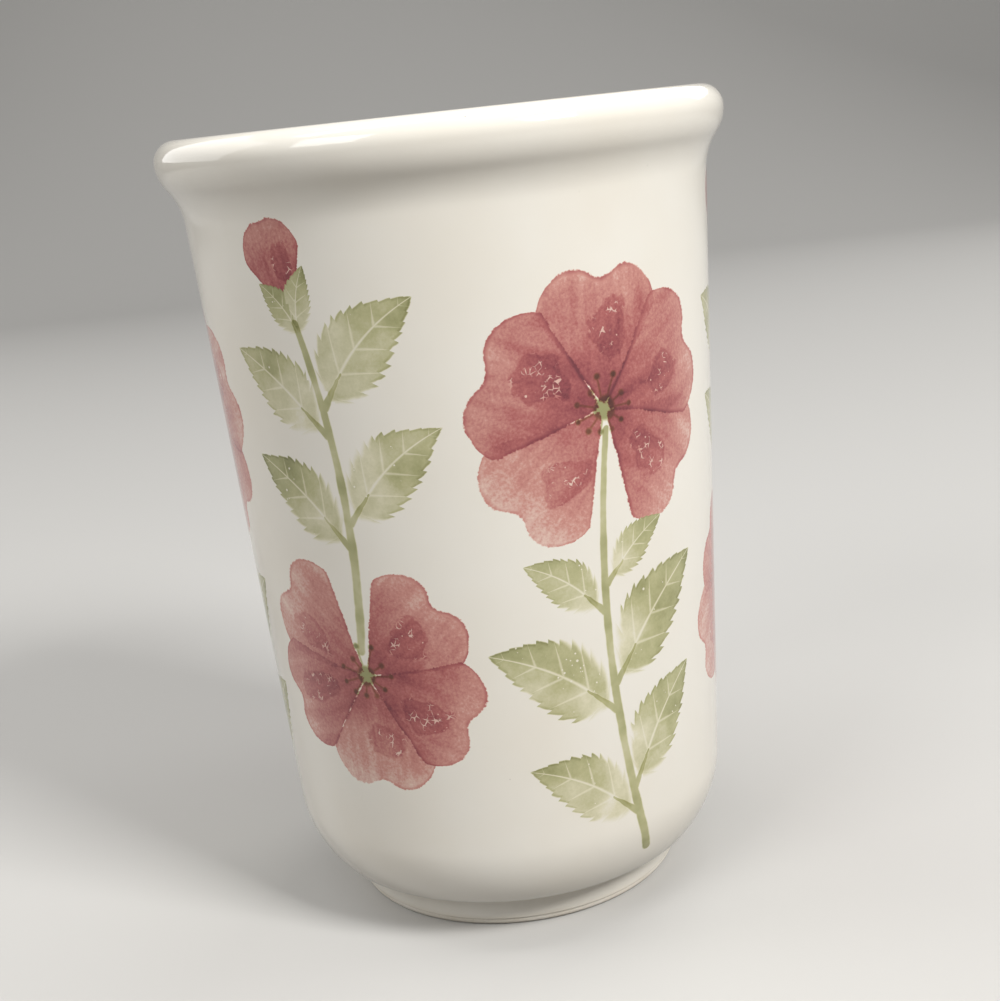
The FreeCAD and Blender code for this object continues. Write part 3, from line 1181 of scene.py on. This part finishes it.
@dataclass
class Crock:
    """The crock's outer pieces: three coats of glaze, the foot ring, and the clay left under them."""

    form: CrockForm
    outer_segments: int = 540
    inner_segments: int = 400
    foot_segments: int = 400
    waver_depth: float = 0.09

    def build(self) -> list[bpy.types.Object]:
        """Builds and dresses every piece.

        Returns:
            The new pieces and the carried-over clay, in order.
        """
        turner = TurnedForm()
        white = WhiteGlaze().make()
        clay = BiscuitClay().make()
        form, waver = self.form, self.waver_depth
        skins = form.outside_skin(), form.inside_skin(), form.well_skin()
        outside, inside, well = [Outline.coat(skin, form.glaze_thickness) for skin in skins]
        foot = Outline.ring(form.foot_section())
        turned = (
            ("outer_glaze", "painted_glaze", outside, PaintedGlaze().make(), self.outer_segments, waver),
            ("inner_glaze", "white_glaze", inside, white, self.inner_segments, waver),
            ("foot_well_glaze", "white_glaze", well, white, self.foot_segments, waver),
            ("foot_ring", "biscuit_clay", foot, clay, self.foot_segments, 0.0),
        )
        pieces = []
        for node, slot, outline, finish, segments, depth in turned:
            piece = turner.turn("turned_" + node, outline, finish, segments, depth)
            unrolled = Unrolled(piece.data, outline)
            unrolled.add_map()
            if outline is outside:
                self.paint(unrolled)
            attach(piece, "root")
            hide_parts(node)
            pieces.append(piece)
        for node in ("base_bowl", "wall", "rolled_rim"):
            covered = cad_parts[node]
            covered.data.materials.clear()
            covered.data.materials.append(clay)
            pieces.append(covered)
        return pieces

    def paint(self, unrolled: Unrolled) -> None:
        """Writes each mark's own coordinates to the corners of the faces that it lies on.

        Args:
            unrolled: The outer coat, whose section starts at the crown of the rim.
        """
        skin = self.form.outside_skin()
        wall_top, wall_foot = skin["throat"].at(1), skin["shoulder"].at(0)
        girth = FULL_TURN * (wall_top.real + wall_foot.real) / 2
        way_down = sum(skin[name].length for name in ("crown", "roll", "throat")) + abs(wall_top - wall_foot)
        rise = way_down - unrolled.stations + self.form.shoulder_height
        rise[unrolled.stations > unrolled.outline.stations[unrolled.outline.last]] = -FAR
        places = unrolled.angles * girth / FULL_TURN + 1j * rise
        face_places = unrolled.means(places.real) + 1j * unrolled.means(places.imag)
        marks = SprayDesign(girth).marks()
        for layer in Layer:
            nearest = np.ones(len(face_places))
            values = np.tile(np.array([FAR, -FAR, 0.0], np.float32), (len(places), 1))
            for mark in (m for m in marks if m.layer is layer):
                distance = mark.holds(*mark.own(face_places, girth))
                taken = distance < nearest
                nearest[taken] = distance[taken]
                corners = taken[unrolled.face]
                x, y = mark.own(places[corners], girth)
                values[corners] = np.stack([x, y, np.full_like(x, mark.seed)], axis=1)
            held = unrolled.mesh.attributes.new(layer.value, "FLOAT_VECTOR", "CORNER").data
            held.foreach_set("vector", values.ravel())


@dataclass(frozen=True)
class Camera:
    """The camera that took the picture, fitted to the crock's outline in it."""

    image_size: tuple[int, int] = (1000, 1001)
    focal_pixels: float = 1471.9
    distance: float = 335.1 * MM
    height: float = 177.6 * MM
    pan: float = math.radians(0.783)
    tilt: float = math.radians(14.892)
    roll: float = math.radians(6.204)
    sensor_width: float = 36.0
    clip_start: float = 0.01

    def place(self) -> None:
        """Sets up the scene's camera."""
        data = bpy.data.cameras.new("camera")
        data.sensor_width = self.sensor_width
        data.lens = self.focal_pixels * self.sensor_width / max(self.image_size)
        data.clip_start = self.clip_start
        camera = bpy.data.objects.new("camera", data)
        stand = Matrix.Translation((0.0, -self.distance, self.height))
        for angle, axis in ((-self.pan, "Z"), (QUARTER_TURN - self.tilt, "X"), (-self.roll, "Z")):
            stand = stand @ Matrix.Rotation(angle, 4, axis)
        camera.matrix_world = stand
        bpy.context.scene.collection.objects.link(camera)
        bpy.context.scene.camera = camera


@dataclass(frozen=True)
class Lamp:
    """A soft lamp with an oblong face, turned to a point on the crock."""

    name: str
    place: tuple[float, float, float]
    face: Span
    watts: float
    aim: tuple[float, float, float] = (0.0, 0.0, 0.09)

    def hang(self) -> None:
        """Adds the lamp to the scene."""
        data = bpy.data.lights.new(self.name, "AREA")
        data.shape = "RECTANGLE"
        data.size, data.size_y = self.face
        data.energy = self.watts
        lamp = bpy.data.objects.new(self.name, data)
        turn = (Vector(self.aim) - Vector(self.place)).to_track_quat("-Z", "Y").to_matrix().to_4x4()
        lamp.matrix_world = Matrix.Translation(self.place) @ turn
        bpy.context.scene.collection.objects.link(lamp)


@dataclass(frozen=True)
class Studio:
    """A pale paper sweep, soft lamps and a dim even world round the crock."""

    half_width: float = 3.0
    front: float = -2.5
    back: float = 1.3
    curve_radius: float = 0.6
    top: float = 2.6
    curve_steps: int = 24
    world_hex: str = "#FFFFFF"
    world_strength: float = 0.2
    lamps: tuple[Lamp, ...] = (
        Lamp("key_lamp", (0.72, -0.66, 0.9), (0.36, 0.36), 14.6),
        Lamp("fill_lamp", (-0.8, -0.75, 0.95), (0.6, 0.6), 5.2),
        Lamp("back_lamp", (0.75, 1.0, 0.95), (0.9, 0.9), 5.6),
        Lamp("side_lamp", (-1.2, 0.6, 0.8), (1.4, 1.2), 8.0),
        Lamp("top_strip_lamp", (0.0, -0.05, 1.25), (1.5, 0.24), 3.7),
    )

    def build(self) -> None:
        """Adds the sweep, the lamps and the world."""
        curve = Bend(complex(self.back, self.curve_radius), self.curve_radius, -QUARTER_TURN, 0.0)
        line = [complex(self.front), *(curve.at(k / self.curve_steps) for k in range(self.curve_steps + 1))]
        line.append(complex(line[-1].real, self.top))
        places = [(side * self.half_width, p.real, p.imag) for p in line for side in (-1, 1)]
        faces = [(2 * k, 2 * k + 1, 2 * k + 3, 2 * k + 2) for k in range(len(line) - 1)]
        mesh = bpy.data.meshes.new("paper_sweep")
        mesh.from_pydata(places, [], faces)
        mesh.shade_smooth()
        mesh.materials.append(SweepPaper().make())
        sweep = bpy.data.objects.new("paper_sweep", mesh)
        bpy.context.scene.collection.objects.link(sweep)
        for lamp in self.lamps:
            lamp.hang()
        world = bpy.data.worlds.new("even_world")
        world.use_nodes = True
        light = world.node_tree.nodes["Background"].inputs
        light["Strength"].default_value = self.world_strength
        light["Color"].default_value = linear(self.world_hex)
        bpy.context.scene.world = world
        bpy.context.scene.view_settings.view_transform = "Standard"


def main() -> None:
    """Builds the crock, the studio and the camera, and reports each piece."""
    logging.basicConfig(level=logging.INFO, format="%(message)s")
    for piece in Crock(CrockForm.from_frame()).build():
        LOG.info("%s: %d faces", piece.name, len(piece.data.polygons))
    Studio().build()
    Camera().place()


if __name__ == "__main__":
    main()
